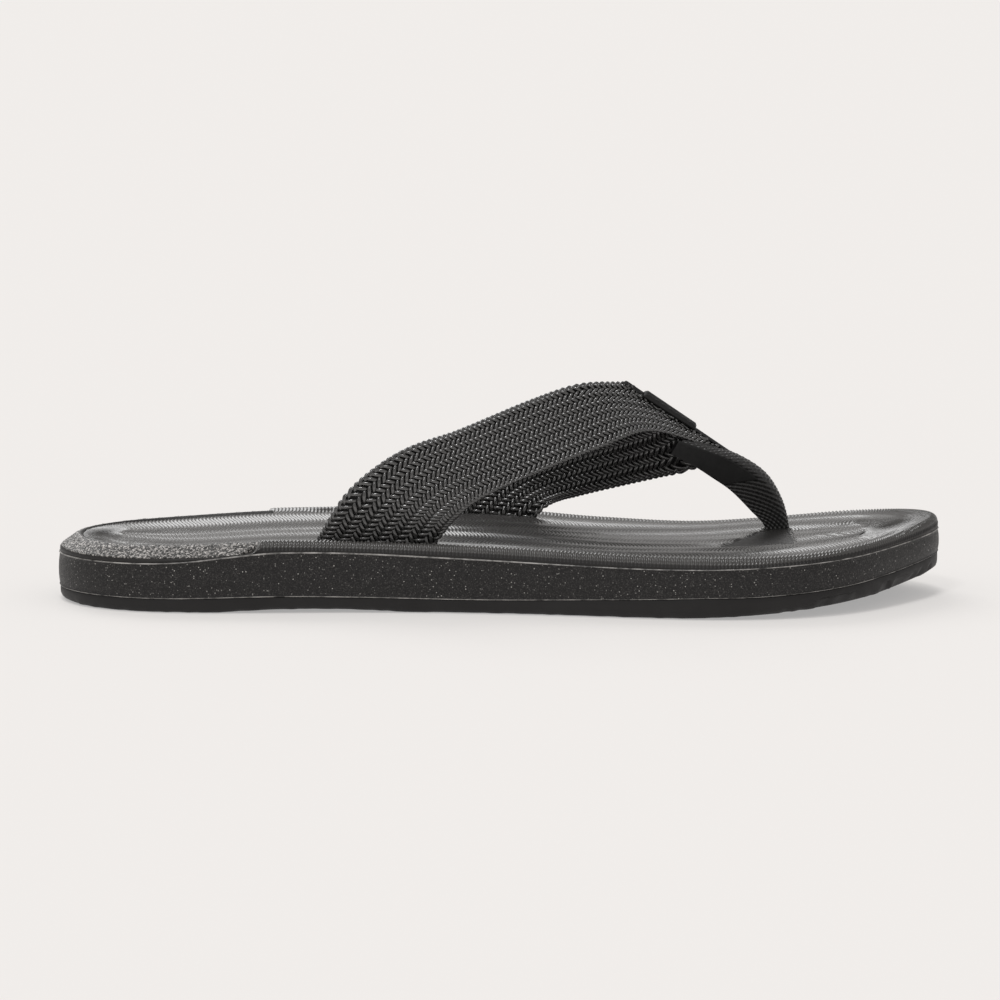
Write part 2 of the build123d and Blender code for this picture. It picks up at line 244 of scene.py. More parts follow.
def slab(outer, inner, start=0):
    """Points and faces of a closed slab between two grids of points of the same size."""
    rows, columns = outer.shape[:2]
    count = rows * columns
    faces = grid_faces(rows, columns, start)
    faces += [face[::-1] for face in grid_faces(rows, columns, start + count)]
    rim = (
        list(range(columns))
        + [i * columns + columns - 1 for i in range(1, rows)]
        + [(rows - 1) * columns + j for j in range(columns - 2, -1, -1)]
        + [i * columns for i in range(rows - 2, 0, -1)]
    )
    for i, corner in enumerate(rim):
        after = rim[(i + 1) % len(rim)]
        faces.append([start + k for k in (after, corner, corner + count, after + count)])
    return np.concatenate([outer.reshape(-1, 3), inner.reshape(-1, 3)]), faces


def finish_piece(piece, slot_name, *nodes):
    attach(piece, "root")
    if nodes:
        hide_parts(*nodes)


# Lines across the sole: each runs from a point on the outline to a point on the spine down its middle
SPINE_BACK, SPINE_FRONT = from_heel(21.0), from_heel(264.0)
SPINE_BACK_Y, SPINE_DRIFT = 1.2, 1.2        # the spine's offset to the medial side, and how much it gains


class Lines:
    """Edge points round the outline and the spine point that each one's line runs to."""

    def __init__(self, spacing):
        spans = int(round((SPINE_FRONT - SPINE_BACK) / spacing))
        xs = np.linspace(SPINE_BACK, SPINE_FRONT, spans + 1)
        lateral_y = np.interp(xs, lateral_outline[:, 0], lateral_outline[:, 1])
        medial_y = np.interp(xs, medial_outline[::-1, 0], medial_outline[::-1, 1])
        lateral, medial = np.stack([xs, lateral_y], axis=1), np.stack([xs, medial_y], axis=1)
        toe_part = outline[outline[:, 0] > SPINE_FRONT]
        toe = resample(np.concatenate([lateral[-1:], toe_part, medial[-1:]]), spacing)[1:-1]
        rolled = np.roll(outline, SPAN * 4, axis=0)
        heel_part = rolled[rolled[:, 0] < SPINE_BACK]
        heel = resample(np.concatenate([medial[:1], heel_part, lateral[:1]]), spacing)[1:-1]
        last = len(xs) - 1
        self.edge = np.concatenate([lateral, toe, medial[::-1], heel])
        self.spine_index = np.concatenate(
            [np.arange(last + 1), np.full(len(toe), last), np.arange(last, -1, -1), np.zeros(len(heel), int)]
        )
        share = (xs - xs[0]) / (xs[-1] - xs[0])
        self.spine = np.stack([xs, SPINE_BACK_Y + SPINE_DRIFT * share], axis=1)
        self.count = len(self.edge)
        self.inward = self.spine[self.spine_index] - self.edge
        self.reach = np.linalg.norm(self.inward, axis=1)
        self.inward /= self.reach[:, None]
        self.sideways = np.stack([self.inward[:, 1], -self.inward[:, 0]], axis=1)
        steps = np.linalg.norm(np.roll(self.edge, -1, axis=0) - self.edge, axis=1)
        self.run = np.concatenate([[0], np.cumsum(steps)[:-1]])
        self.fan = np.zeros(self.count)
        self.fan[last + 1 : last + 1 + len(toe)] = 1
        self.fan[2 * last + 2 + len(toe) :] = 1
        ribs = (xs - xs[0]) / RIB_PITCH

        def round_end(start, count):
            """Rib numbers round an end: a whole number of ribs, so that both sides meet in step."""
            extra = round(count * spacing / RIB_PITCH)
            return start + extra * np.arange(1, count + 1) / (count + 1)

        toe_ribs = round_end(ribs[-1], len(toe))
        heel_ribs = round_end(ribs[0], len(heel))
        self.phase = 2 * math.pi * np.concatenate([ribs, toe_ribs, ribs[::-1], heel_ribs])

    def at(self, depth):
        """Points at a distance in from the edge along each line."""
        depth = np.broadcast_to(depth, self.count)
        return self.edge + self.inward * depth[:, None]


def sole_solid(lines, rows, low, high):
    """Closed surface from rows of points round the sole, and its spine below and above."""
    points = np.concatenate([*rows, low, high])
    faces = grid_faces(len(rows), lines.count, wrap=True)
    last = len(rows) - 1
    for row, start, flip in ((0, len(rows) * lines.count, True), (last, len(points) - len(high), False)):
        for i in range(lines.count):
            j = (i + 1) % lines.count
            a, b = row * lines.count + i, row * lines.count + j
            c, d = start + lines.spine_index[j], start + lines.spine_index[i]
            corners = [a, b, int(c)] if c == d else [a, b, int(c), int(d)]
            faces.append(corners[::-1] if flip else corners)
    return points, faces


def with_height(points, z):
    return np.column_stack([points, np.broadcast_to(z, len(points))])


# Materials
class Nodes:
    """Short way to build a material's node tree."""

    def __init__(self, name):
        self.material = bpy.data.materials.new(name)
        self.material.use_nodes = True
        self.tree = self.material.node_tree
        self.shader = self.tree.nodes["Principled BSDF"]
        self.place = self.add("ShaderNodeTexCoord").outputs["Object"]

    def add(self, kind, **settings):
        node = self.tree.nodes.new(kind)
        for key, value in settings.items():
            setattr(node, key, value)
        return node

    def link(self, source, target):
        self.tree.links.new(source, target)

    def noise(self, scale, detail=3.0, roughness=0.5, stretch=None):
        node = self.add("ShaderNodeTexNoise")
        node.inputs["Scale"].default_value = scale
        node.inputs["Detail"].default_value = detail
        node.inputs["Roughness"].default_value = roughness
        source = self.place
        if stretch:
            mapping = self.add("ShaderNodeMapping")
            mapping.inputs["Scale"].default_value = stretch
            self.link(self.place, mapping.inputs["Vector"])
            source = mapping.outputs["Vector"]
        self.link(source, node.inputs["Vector"])
        return node.outputs["Fac"]

    def cells(self, scale):
        node = self.add("ShaderNodeTexVoronoi", feature="F1")
        node.inputs["Scale"].default_value = scale
        self.link(self.place, node.inputs["Vector"])
        return node

    def ramp(self, source, stops):
        node = self.add("ShaderNodeValToRGB")
        ramp = node.color_ramp
        while len(ramp.elements) < len(stops):
            ramp.elements.new(0.5)
        for element, (position, colour) in zip(ramp.elements, stops):
            element.position = position
            shade = (colour,) * 3 if isinstance(colour, (int, float)) else colour
            element.color = (*shade, 1)
        self.link(source, node.inputs["Fac"])
        return node.outputs["Color"]

    def mottle(self, dark, light, *noise):
        """Soft patches between two colours or two values."""
        return self.ramp(self.noise(*noise), [(0.3, dark), (0.7, light)])

    def math(self, operation, a, b=None):
        node = self.add("ShaderNodeMath", operation=operation)
        for socket, value in zip(node.inputs, (a, b)):
            if value is None:
                continue
            if isinstance(value, (int, float)):
                socket.default_value = value
            else:
                self.link(value, socket)
        return node.outputs[0]

    def bump(self, height, distance, strength=1.0, under=None):
        node = self.add("ShaderNodeBump")
        node.inputs["Distance"].default_value = distance
        node.inputs["Strength"].default_value = strength
        self.link(height, node.inputs["Height"])
        if under:
            self.link(under, node.inputs["Normal"])
        self.link(node.outputs["Normal"], self.shader.inputs["Normal"])
        return node.outputs["Normal"]

    def colour(self, source):
        self.link(source, self.shader.inputs["Base Color"])

    def roughness(self, source):
        if isinstance(source, (int, float)):
            self.shader.inputs["Roughness"].default_value = source
        else:
            self.link(source, self.shader.inputs["Roughness"])

    def set(self, **values):
        for key, value in values.items():
            self.shader.inputs[key.replace("_", " ")].default_value = value


def foam_material():
    """Midsole skin: near black, finely pored, with scattered light flecks."""
    n = Nodes("midsole_foam")
    flecks = n.cells(1900)
    size = n.ramp(flecks.outputs["Distance"], [(0.0, 1.0), (0.26, 0.8), (0.40, 0.0)])
    split = n.add("ShaderNodeSeparateColor")
    n.link(flecks.outputs["Color"], split.inputs[0])
    pick = n.ramp(split.outputs[0], [(0.0, 0.0), (0.90, 0.0), (0.95, 1.0)])
    brightness = n.ramp(split.outputs[1], [(0.0, 0.2), (0.6, 0.5), (0.9, 1.0)])
    fleck = n.math("MULTIPLY", n.math("MULTIPLY", size, pick), brightness)
    grain = n.noise(2300, 3, 0.7)
    shade = n.ramp(
        grain, [(0.35, (0.006, 0.006, 0.006)), (0.52, (0.014, 0.013, 0.013)), (0.70, (0.070, 0.067, 0.064))]
    )
    mix = n.add("ShaderNodeMix", data_type="RGBA")
    n.link(fleck, mix.inputs[0])
    n.link(shade, mix.inputs[6])
    mix.inputs[7].default_value = (0.62, 0.60, 0.57, 1)
    n.colour(mix.outputs[2])
    n.roughness(n.mottle(0.42, 0.55, 900, 2))
    n.bump(grain, 0.00022, 0.8)
    n.set(Specular_IOR_Level=0.32)
    return n.material


def flash_highlight_material():
    """Thin moulding line along the parting of two layers, painted lighter in patches as the highlight its
    edge catches from the light above.
    """
    n = Nodes("parting_flash_painted_highlight")
    # the light patches are painted highlight on the moulding line
    n.colour(n.ramp(n.noise(160, 4, 0.7), [(0.35, (0.020, 0.019, 0.018)), (0.62, (0.420, 0.405, 0.390))]))
    n.roughness(n.mottle(0.25, 0.40, 500, 2))
    n.bump(n.noise(1500, 2), 0.00008, 0.5)
    return n.material


def outsole_material():
    n = Nodes("outsole_rubber")
    n.colour(n.mottle((0.012, 0.011, 0.011), (0.017, 0.016, 0.016), 60, 3))
    n.roughness(n.mottle(0.50, 0.64, 240, 3))
    n.bump(n.noise(1800, 4, 0.6), 0.00006, 0.5)
    n.set(Specular_IOR_Level=0.34)
    return n.material


def footbed_material():
    """Satin foam; the fine chevron ribs of the heel and toe middles, which the mesh leaves out, are bump."""
    middle_start, middle_half_width, slant = from_heel(length - 42), 20.0, 0.5
    n = Nodes("footbed_foam")
    n.colour(n.mottle((0.036, 0.034, 0.032), (0.048, 0.046, 0.044), 70, 3))
    n.roughness(n.mottle(0.20, 0.27, 400, 3))
    n.set(Specular_IOR_Level=0.65, Sheen_Weight=0.45, Sheen_Roughness=0.30)
    split = n.add("ShaderNodeSeparateXYZ")
    n.link(n.place, split.inputs[0])
    x, y = split.outputs["X"], split.outputs["Y"]
    shift = n.math("MULTIPLY", n.math("PINGPONG", y, BAND_WIDTH / 2 * MM), slant)
    ribs = n.math("SINE", n.math("MULTIPLY", n.math("ADD", x, shift), 2 * math.pi / (RIB_PITCH * MM)))
    middle = n.math("GREATER_THAN", n.math("ABSOLUTE", x), middle_start * MM)
    across = n.math("LESS_THAN", n.math("ABSOLUTE", y), middle_half_width * MM)
    masked = n.math("MULTIPLY", ribs, n.math("MULTIPLY", middle, across))
    fine = n.bump(n.noise(3000, 3, 0.6), 0.00003, 0.5)
    n.bump(masked, 0.00008, 0.5, fine)
    return n.material


def plain_pad_and_wall_shade_material():
    """Plain darker foam colour for the pad behind the toe post, the footbed's wall and the collar's edges; on
    the wall and the collar's foot the darker colour is painted shade of faces turned away from the light.
    """
    n = Nodes("footbed_plain_and_painted_wall_shade")
    # darker than the footbed foam: painted shade where it covers the walls
    n.colour(n.mottle((0.013, 0.012, 0.012), (0.019, 0.018, 0.017), 120, 3))
    n.roughness(n.mottle(0.42, 0.52, 500, 3))
    n.bump(n.noise(2600, 3, 0.6), 0.00006, 0.6)
    n.set(Specular_IOR_Level=0.35)
    return n.material


def collar_material():
    """Heel collar: coarse sand-grain texture."""
    n = Nodes("collar_sand")
    grain = n.noise(1250, 3, 0.75)
    n.colour(n.ramp(
        grain, [(0.43, (0.010, 0.010, 0.009)), (0.51, (0.060, 0.058, 0.055)), (0.59, (0.540, 0.515, 0.495))]
    ))
    n.roughness(0.40)
    n.bump(grain, 0.00030, 1.0)
    return n.material


def yarn_material():
    """Braid yarn: black filament with a soft shine and fine fibre lines."""
    n = Nodes("braid_yarn")
    n.colour(n.mottle((0.008, 0.0078, 0.0075), (0.030, 0.0290, 0.028), 500, 3))
    n.roughness(n.mottle(0.18, 0.26, 2500, 2))
    n.bump(n.noise(5200, 3, 0.6, stretch=(0.35, 1.0, 1.0)), 0.00006, 0.6)
    n.set(Specular_IOR_Level=1.0, Coat_Weight=1.0, Coat_Roughness=0.16)
    return n.material


def webbing_material():
    n = Nodes("thong_webbing")
    n.colour(n.mottle((0.008, 0.008, 0.008), (0.020, 0.019, 0.019), 700, 3))
    n.roughness(n.mottle(0.26, 0.38, 2500, 2))
    n.bump(n.noise(6000, 3, 0.6), 0.00006, 0.7)
    n.set(Specular_IOR_Level=0.55)
    return n.material


def tape_material(name, dark, light, rough):
    n = Nodes(name)
    n.colour(n.mottle(dark, light, 300, 3))
    n.roughness(n.mottle(rough - 0.07, rough + 0.07, 900, 2))
    n.bump(n.noise(4200, 3, 0.6), 0.00005, 0.6)
    n.set(Specular_IOR_Level=0.35)
    return n.material


materials = {
    "midsole": foam_material(),
    "flash": flash_highlight_material(),
    "plain_and_wall_shade": plain_pad_and_wall_shade_material(),
    "outsole": outsole_material(),
    "footbed": footbed_material(),
    "heel_collar": collar_material(),
    "braid": yarn_material(),
    "webbing": webbing_material(),
    "lining": tape_material("lining_tape", 0.005, 0.009, 0.60),
    "label": tape_material("label_tab", 0.006, 0.010, 0.50),
    "thread": tape_material("sewing_thread", 0.014, 0.024, 0.45),
    "toe_anchor": tape_material("anchor_plastic", 0.018, 0.026, 0.45),
}


# Sole layers
FLASH_HIGHLIGHT_BANDS = (2, 11)       # rows of faces that make the moulding lines at the bottom and the top, coloured with the painted highlight
MIDSOLE_WALL = (            # share of the height and bulge outwards, with a thin lip at each moulding line
    (0.0, 0.15), (0.022, 0.32), (0.04, 0.12), (0.12, 0.3), (0.3, 0.5), (0.5, 0.55),
    (0.7, 0.45), (0.85, 0.25), (0.95, 0.12), (0.97, 0.42), (1.0, 0.12), (1.005, 0.05),
)
TREAD_EDGE = 2.4            # width of the plain border of the tread
GROOVE_PITCH, GROOVE_DEPTH = 9.0, 1.3
GROOVE_SWING, GROOVE_WAVE = 2.2, 5.5        # the grooves' sine: its height and its length over 2 pi


def make_midsole():
    """Speckled foam layer with a bulged wall and a moulding line at its lower and upper edge, each moulding
    line with a painted highlight.
    """
    lines = Lines(0.9)
    x = lines.edge[:, 0]
    low, high = outsole_top(x), parting(x)
    rows = [with_height(lines.at(12.0), low + 0.05), with_height(lines.at(2.0), low + 0.05)]
    for share, out in MIDSOLE_WALL:
        rows.append(with_height(lines.at(-out), low + (high - low) * share))
    rows.append(with_height(lines.at(2.0), high - 0.2))
    rows.append(with_height(lines.at(8.0), high - 4.0))
    spine_x = lines.spine[:, 0]
    below = with_height(lines.spine, outsole_top(spine_x) + 0.05)
    above = with_height(lines.spine, parting(spine_x) - 4.5)
    piece = new_piece("midsole_foam", *sole_solid(lines, rows, below, above), materials["midsole"])
    piece.data.materials.append(materials["flash"])
    # the moulding lines' faces take the flash material with its painted highlight
    for band in FLASH_HIGHLIGHT_BANDS:
        for polygon in range(band * lines.count, (band + 1) * lines.count):
            piece.data.polygons[polygon].material_index = 1
    finish_piece(piece, "midsole", "midsole")


def lug_edge(lines):
    """Raggedness of the tread where it meets the side: strong under the toe, faint along the rest."""
    knots = np.arange(0, lines.run[-1] + 8, 2.4)
    jitter = np.interp(lines.run, knots, rng.uniform(0, 1, len(knots)))
    toe_share = ease((lines.edge[:, 0] - from_heel(225)) / 30)
    return jitter * (0.4 + 2.1 * toe_share)


def make_outsole():
    """Rubber layer with wavy grooves across the heel and the forefoot, and a ragged lower edge."""
    lines = Lines(0.6)
    x = lines.edge[:, 0]
    base, top = ground(x), outsole_top(x)
    ragged = lug_edge(lines)
    rows = []
    for share in np.linspace(0.97, 0.0, 26):
        depth = TREAD_EDGE + (lines.reach - TREAD_EDGE) * share
        spot = lines.at(depth)
        distance = spot[:, 0] + length / 2
        wave = distance + GROOVE_SWING * np.sin(spot[:, 1] / GROOVE_WAVE)
        groove = np.clip(1 - np.abs((wave % GROOVE_PITCH) - GROOVE_PITCH / 2), 0, 1)
        at_waist = ease((distance - waist_start + 12) / 8) * ease((waist_end + 8 - distance) / 8)
        cut = GROOVE_DEPTH * (ease(groove * 1.6) * (1 - at_waist)) * ease((depth - 4.0) / 1.5)
        rows.append(with_height(spot, ground(spot[:, 0]) + cut + ragged * (share == 0.0) * 0.4))
    for depth, lift in ((1.1, 0.35), (0.45, 0.9), (0.1, 1.7), (0.0, 2.6)):
        rows.append(with_height(lines.at(depth), base + lift + ragged * (1.0 if lift < 2 else 0.3)))
    rows.append(with_height(lines.at(-0.02), (base + top) / 2 + 1.0))
    rows.append(with_height(lines.at(0.0), top - 0.35))
    rows.append(with_height(lines.at(0.25), top - 0.02))
    rows.append(with_height(lines.at(6.0), top - 0.02))
    spine_x = lines.spine[:, 0]
    below = with_height(lines.spine, ground(spine_x))
    above = with_height(lines.spine, outsole_top(spine_x) - 0.02)
    piece = new_piece("outsole_tread", *sole_solid(lines, rows, below, above), materials["outsole"])
    finish_piece(piece, "outsole", "outsole")


def post_features(x, y):
    """Smooth pad behind the toe post, 1 inside it, and the groove ahead of the post, 1 along it."""
    distance = x + length / 2
    lean = 216.0 + (y + 22.0) * 0.44
    pad = ease((distance - lean) / 1.4) * ease((242.0 - distance) / 2.0)
    pad = pad * ease((y + 24) / 2) * ease((22 - y) / 3)
    centre = 12.0 + (distance - 241.0) * 0.15
    stripe = np.exp(-(((y - centre) / 2.2) ** 2))
    stripe = stripe * ease((distance - 239) / 3) * ease((268 - distance) / 8)
    return pad, stripe


def slot_creases(x, y):
    """Shallow wedges in the footbed where it is slit behind the straps, 1 at the deepest."""
    distance = x + length / 2
    result = 0
    for start, end, middle, slope in ((61.0, 76.0, -19.0, -0.03), (78.0, 90.0, 32.0, 0.0)):
        line = middle + (distance - start) * slope
        along = ease((distance - start) / 9.0) * ease((end - distance) / 1.5)
        result = result + np.exp(-(((y - line) / 1.2) ** 2)) * along
    return result


def make_footbed():
    """Ribbed top layer, closed and without openings: the straps and the toe post run into its surface."""
    lines = Lines(RIB_PITCH / 4)
    ribs = np.sin(lines.phase + math.pi / 4)
    rim_depths = [0.0, 0.12, 0.45, 0.95, 1.6, 2.3, 3.1, 4.2, 5.6]
    depths = [np.full(lines.count, depth) for depth in rim_depths]
    for share in np.linspace(0, 0.985, 19)[1:]:
        depths.append(rim_depths[-1] + (lines.reach - rim_depths[-1]) * share)
    x, y = lines.edge[:, 0], lines.edge[:, 1]
    low = parting(x)
    rows = [with_height(lines.at(9.0), low - 3.5), with_height(lines.at(1.6), low + 0.02)]
    edge_top = top_height(x, y) - RIM_ROLL
    heel_zone = ease((from_heel(COLLAR_HIGH_END + 1.5) - x) / 4.0)
    for share in (0.0, 0.12, 0.5, 0.9):
        z = low + (edge_top - low) * share * (1 - 0.9 * heel_zone)
        swell = 0.1 if share > 0 else -0.1
        out = swell + 0.10 * ribs * (0.2 + 0.8 * share) * (1 - heel_zone) - heel_zone * 0.9
        rows.append(with_height(lines.at(-out), z))
    for depth in depths:
        left = np.clip((lines.reach - depth) / lines.reach, 0, 1)
        fade = np.where(lines.fan > 0, ease((lines.reach - depth) / 10), 1)
        slant = ease((depth - 4.5) / 4) * fade * ease((lines.reach - depth) / 6)
        shift = 1.5 * np.sin(math.pi * (depth - 5) / BAND_WIDTH) * slant
        spot = lines.at(depth) + lines.sideways * shift[:, None]
        pad, stripe = post_features(spot[:, 0], spot[:, 1])
        roll = np.sqrt(np.clip(RIM_ROLL**2 - (RIM_ROLL - depth) ** 2, 0, None))
        drop = np.where(depth < RIM_ROLL, RIM_ROLL - roll, 0)
        near_side = ease((-y - 5.0) / 20.0) * ease((from_heel(250) - x) / 30)
        bead = (0.25 + 0.65 * near_side) * np.exp(-(((depth - 2.6) / 1.3) ** 2))
        bead = bead - 0.3 * np.exp(-(((depth - 6.5) / 2.2) ** 2))
        forefoot = 0.25 + 0.75 * ease((spot[:, 0] - from_heel(110)) / 60)
        level = ease((lines.reach - depth) / 8)
        wave = 0.15 * np.cos(2 * math.pi * (depth - 5) / BAND_WIDTH) * slant * forefoot * level
        strength = np.where(lines.fan > 0, ease(left * 2.2), 1) * (1 - 0.95 * pad)
        far_side = ease(y / 20) * ease((from_heel(258) - x) / 10)
        strength = strength * np.where(depth < 4.5, 1.25 - 0.8 * far_side, 0.75)
        under_collar = heel_zone * ease((COLLAR_WIDTH + 0.8 - depth) / 1.0)
        z = top_height(spot[:, 0], spot[:, 1]) - drop + bead * (1 - heel_zone) + wave * (1 - pad)
        z = z - CREASE_DEPTH * slot_creases(spot[:, 0], spot[:, 1])
        z = z + RIB_HEIGHT * ribs * strength * (1 - under_collar)
        z = z - STRIPE_DEPTH * stripe - PAD_DEPTH * pad
        slope = (COLLAR_SLOPE_START - np.minimum(depth, COLLAR_SLOPE_START)) * COLLAR_SLOPE
        hidden = np.minimum(z - 1.2, edge_top + RIM_ROLL - 1.0 - slope)
        z = z * (1 - under_collar) + np.maximum(hidden, low + 0.1) * under_collar
        rows.append(with_height(spot, z))
    spine_x, spine_y = lines.spine[:, 0], lines.spine[:, 1]
    below = with_height(lines.spine, parting(spine_x) - 4.0)
    spine_ribs = np.sin(2 * math.pi * (spine_x - SPINE_BACK) / RIB_PITCH + math.pi / 4)
    pad, _ = post_features(spine_x, spine_y)
    spine_top = top_height(spine_x, spine_y) + 0.75 * RIB_HEIGHT * spine_ribs * (1 - 0.95 * pad)
    above = with_height(lines.spine, spine_top - PAD_DEPTH * pad)
    piece = new_piece("footbed_ribbed", *sole_solid(lines, rows, below, above), materials["footbed"])
    piece.data.materials.append(materials["plain_and_wall_shade"])
    centres = np.zeros(len(piece.data.polygons) * 3)
    piece.data.polygons.foreach_get("center", centres)
    centres = centres.reshape(-1, 3) / MM
    pad, _ = post_features(centres[:, 0], centres[:, 1])
    plain = (pad > 0.5) & (centres[:, 2] > PLAIN_ABOVE)
    # the wall's faces take the darker plain colour as painted shade
    plain[: WALL_ROWS * lines.count] = True
    piece.data.polygons.foreach_set("material_index", plain.astype(int))
    finish_piece(piece, "footbed", "footbed")


def make_collar():
    """Band round the heel: a smooth lip, a slope of sand grain, and a plain foot down to the parting line."""
    lines = Lines(0.36)
    edge_x = lines.edge[:, 0]
    reach = from_heel(COLLAR_HIGH_END + 2.5)
    keep = np.where(edge_x < reach)[0]
    start = np.argmax(np.diff(np.concatenate([keep, keep[:1] + lines.count])) > 1) + 1
    order = np.roll(keep, -start) if start < len(keep) else keep
    low = parting(edge_x)
    top = top_height(edge_x, lines.edge[:, 1])
    profile = [(8.6, -1.4, 0), (7.6, -0.30, 0), (7.2, 0.22, 0), (6.7, 0.36, 0), (6.2, 0.22, 0.2)]
    slope = np.linspace(COLLAR_SLOPE_START, 0.55, 18)
    profile += [(depth, 0.12 - (COLLAR_SLOPE_START - depth) * COLLAR_SLOPE, 1) for depth in slope]
    profile += [(0.35, -3.75, 0.3), (0.55, -3.95, 0), (0.0, -COLLAR_FOOT, 0)]
    low_end = from_heel(COLLAR_LOW_END + 2.5)
    rows = []
    for depth, lift, grain in profile:
        end = low_end + (COLLAR_HIGH_END - COLLAR_LOW_END) * ease((lift + 3.8) / 3.8)
        spot = lines.at(depth)
        sink = ease((edge_x - end + 1.0) / 2.2) * 2.6
        rough = rng.normal(0, 0.11, lines.count) * grain
        base = top_height(spot[:, 0], spot[:, 1]) if depth > 5 else top
        z = np.maximum(base + lift, low + 0.3) - sink * 0.7 + rough
        rows.append(with_height(spot + lines.inward * (sink * 0.55 + rough * 0.4)[:, None], z))
    sink = ease((edge_x - low_end + 1.0) / 3.0)
    for share, out in ((0.55, 0.06), (0.0, 0.0)):
        z = low + (np.maximum(top - COLLAR_FOOT, low + 0.3) - low) * share
        rows.append(with_height(lines.at(-out + sink * 1.3), z))
    rows.append(with_height(lines.at(4.0), low + 0.05))
    rows = [row[order] for row in rows]
    points = np.concatenate(rows)
    faces = [face[::-1] for face in bar_faces(len(rows), len(order))]
    piece = new_piece("heel_collar_band", points, faces, materials["heel_collar"])
    piece.data.materials.append(materials["plain_and_wall_shade"])
    # the collar's lip and foot take the darker plain colour; on the foot's sideways wall it is painted shade
    quads = len(order) - 1
    for row in range(len(rows)):
        if 4 <= row <= 5 + len(slope):
            continue
        for polygon in range(row * quads, (row + 1) * quads):
            piece.data.polygons[polygon].material_index = 1
    finish_piece(piece, "heel_collar", "heel_collar")


# Straps
STRAP_WIDTH = 30.0
STRAP_THICKNESS = 2.6
YARNS = 27
YARN_RADIUS = 0.66
BRAID_PERIOD = 50.0
slot_length = 41.0
slot_inset = 9.0
lateral_x, medial_x = from_heel(105.0), from_heel(139.0)
lateral_edge_y = float(np.interp(lateral_x, lateral_outline[:, 0], lateral_outline[:, 1]))
medial_edge_y = float(np.interp(medial_x, medial_outline[::-1, 0], medial_outline[::-1, 1]))
lateral_slot = (lateral_x, lateral_edge_y + slot_inset)
medial_slot = (medial_x, medial_edge_y - slot_inset)
ridge_back = (186.6, 10.2, 71.0)
ridge_front = (222.0, 14.2, 46.5)
crossings = {
    "lateral": [
        ((96.0, -28.4, 39.7), (131.5, -28.4, 29.9)),
        ((112.0, -24.0, 51.7), (139.5, -26.6, 36.4)),
        ((131.8, -14.5, 58.2), (158.2, -20.0, 44.5)),
        ((155.0, -3.8, 66.6), (180.0, -8.0, 51.6)),
        ((171.0, 3.2, 71.0), (197.0, 2.2, 55.4)),
    ],
    "medial": [
        ((130.0, 29.8, 38.0), (166.0, 29.8, 27.9)),
        ((143.0, 30.0, 46.5), (171.5, 30.4, 29.6)),
        ((160.0, 27.8, 54.5), (185.0, 29.4, 33.1)),
        ((176.0, 22.2, 61.0), (199.0, 26.2, 36.8)),
        ((183.5, 17.5, 65.0), (209.0, 22.4, 39.6)),
    ],
}


def place(point):
    return np.array([from_heel(point[0]), point[1], point[2]])


def unit(v):
    return v / np.linalg.norm(v, axis=-1, keepdims=True)


class Band:
    """Middle surface of a strap half, with lengths along it (a) and across it (b) in millimetres."""

    def __init__(self, side, slot, outward_y):
        sunk = 6.0
        x, y = slot
        back, front = x - slot_length / 2, x + slot_length / 2
        z = float(np.max(top_height(np.linspace(back, front, 9), np.full(9, y))))
        first = (np.array([back, y, z]), np.array([front, y, z]))
        lines = [first] + [(place(back), place(front)) for back, front in crossings[side]]
        lines.append((place(ridge_back), place(ridge_front)))
        step = unit((lines[1][0] + lines[1][1] - lines[0][0] - lines[0][1]) / 2) * sunk
        step[1] = 0
        lines.insert(0, (lines[0][0] - step, lines[0][1] - step))
        backs, fronts = np.array([line[0] for line in lines]), np.array([line[1] for line in lines])
        middles = (backs + fronts) / 2
        run = np.concatenate([[0], np.cumsum(np.linalg.norm(np.diff(middles, axis=0), axis=1))])
        self.v = np.linspace(0, run[-1], 600)
        self.back, self.front = smooth(run, backs, self.v), smooth(run, fronts, self.v)
        middle = (self.back + self.front) / 2
        steps = np.linalg.norm(np.diff(middle, axis=0), axis=1)
        self.along = np.concatenate([[0], np.cumsum(steps)])
        self.across = self.front - self.back
        self.width = np.linalg.norm(self.across, axis=1)
        ahead = unit(np.gradient(middle, axis=0))
        self.cosine = np.sum(unit(self.across) * ahead, axis=1)
        self.outward = np.array([0.0, outward_y, 0.6])
        self.length = self.along[-1]

    def table(self, values, at):
        return np.stack([np.interp(at, self.along, values[:, k]) for k in range(3)], axis=-1)

    def point(self, at, share, height):
        """Point at a length along the middle, a share across (-1 back, 1 front) and a height out."""
        share, height = np.asarray(share)[..., None], np.asarray(height)[..., None]
        back, front = self.table(self.back, at), self.table(self.front, at)
        base = (back + front) / 2 + (front - back) / 2 * share
        step = 0.4
        ahead_back, ahead_front = self.table(self.back, at + step), self.table(self.front, at + step)
        behind_back, behind_front = self.table(self.back, at - step), self.table(self.front, at - step)
        ahead = (ahead_back + ahead_front) / 2 + (ahead_front - ahead_back) / 2 * share
        behind = (behind_back + behind_front) / 2 + (behind_front - behind_back) / 2 * share
        normal = unit(np.cross(front - back, ahead - behind))
        facing = np.sum(normal * self.outward, axis=-1, keepdims=True)
        normal = np.where(facing < 0, -normal, normal)
        return base + normal * (height - STRAP_THICKNESS / 2)

    def spot(self, a, b):
        """Length along the middle for a place given by lengths along and across the flat band."""
        share = b / (STRAP_WIDTH / 2)
        at = np.array(a, float)
        for _ in range(14):
            width = np.interp(at, self.along, self.width)
            lean = np.interp(at, self.along, self.cosine)
            at = 0.4 * at + 0.6 * (a - share * width / 2 * lean)
        return at, share


